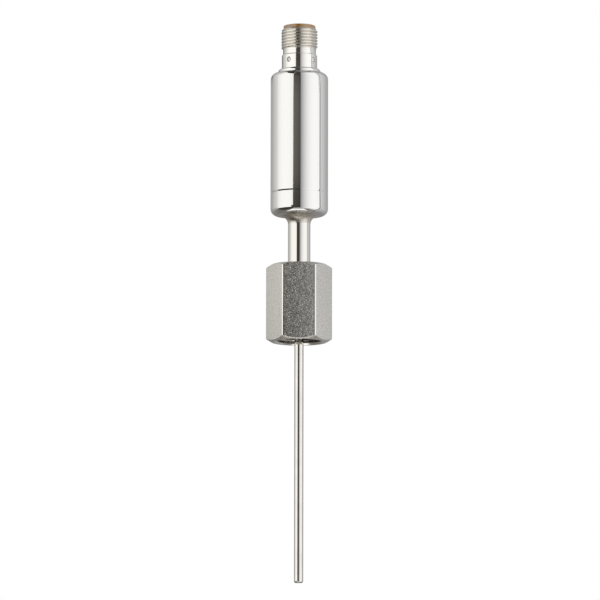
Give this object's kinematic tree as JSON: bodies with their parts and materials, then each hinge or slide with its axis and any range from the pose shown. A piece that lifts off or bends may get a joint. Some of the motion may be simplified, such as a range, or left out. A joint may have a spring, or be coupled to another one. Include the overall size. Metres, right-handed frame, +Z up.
{
  "type": "temperature sensor",
  "caption": "Slim probe temperature sensor with polished cylindrical housing, sliding hexagon union nut on a thin neck and a threaded round plug connector on top.",
  "frame": {"origin": "on the axis at the flat seat of the sealing cone, inside the union nut", "axes": "+Z up the axis from the probe to the connector, one flat of the nut faces -Y"},
  "size_m": [0.0218, 0.019, 0.1851],
  "materials": {
    "polished_steel": "polished stainless steel",
    "probe_steel": "drawn and polished stainless steel",
    "connector_steel": "turned stainless steel",
    "machined_steel": "turned stainless steel",
    "matte_steel": "tumbled matte stainless steel",
    "amber_plastic": "moulded amber plastic",
    "window_plastic": "clear moulded plastic",
    "contact_gold": "gold plated",
    "seal_rubber": "soft black rubber",
    "grommet_rubber": "soft grey rubber",
    "slip_plastic": "natural moulded plastic",
    "board_laminate": "coated laminate",
    "chip_plastic": "moulded black plastic",
    "light_plastic": "clear cast plastic",
    "capacitor_ceramic": "fired ceramic",
    "resistor_ceramic": "coated ceramic",
    "element_ceramic": "fired ceramic",
    "insulator_ceramic": "fired ceramic",
    "lead_metal": "drawn wire",
    "insulation_plastic": "thin plastic film",
    "holder_plastic": "moulded plastic"
  },
  "bodies": {
    "sensor": {"probe_sheath": "probe_steel", "sensing_element": "element_ceramic", "lead_wires": "lead_metal", "insulator_rod": "insulator_ceramic", "sealing_cone": "machined_steel", "cone_seal": "seal_rubber", "neck_base": "polished_steel", "base_seal": "seal_rubber", "housing_shell": "polished_steel", "connector_sleeve": "connector_steel", "sleeve_seal": "seal_rubber", "light_windows": "window_plastic", "contact_carrier": "amber_plastic", "contact_pins": "contact_gold", "light_board": "board_laminate", "indicator_lights": "light_plastic", "link_pins": "contact_gold", "circuit_board": "board_laminate", "processor_chip": "chip_plastic", "converter_chip": "chip_plastic", "board_capacitors": "capacitor_ceramic", "board_resistors": "resistor_ceramic", "insulating_sleeve": "insulation_plastic", "board_holder": "holder_plastic", "lead_grommet": "grommet_rubber"},
    "ring": {"slip_ring": "slip_plastic"},
    "nut": {"union_nut": "matte_steel"}
  },
  "joints": [
    {"name": "nut_slide", "type": "slide", "parent": "sensor", "child": "ring", "axis": [0, 0, 1], "range_m": [0, 0.0144]},
    {"name": "nut_spin", "type": "hinge", "parent": "ring", "child": "nut", "pos_m": [0, 0, 0], "axis": [0, 0, 1], "continuous": true}
  ]
}
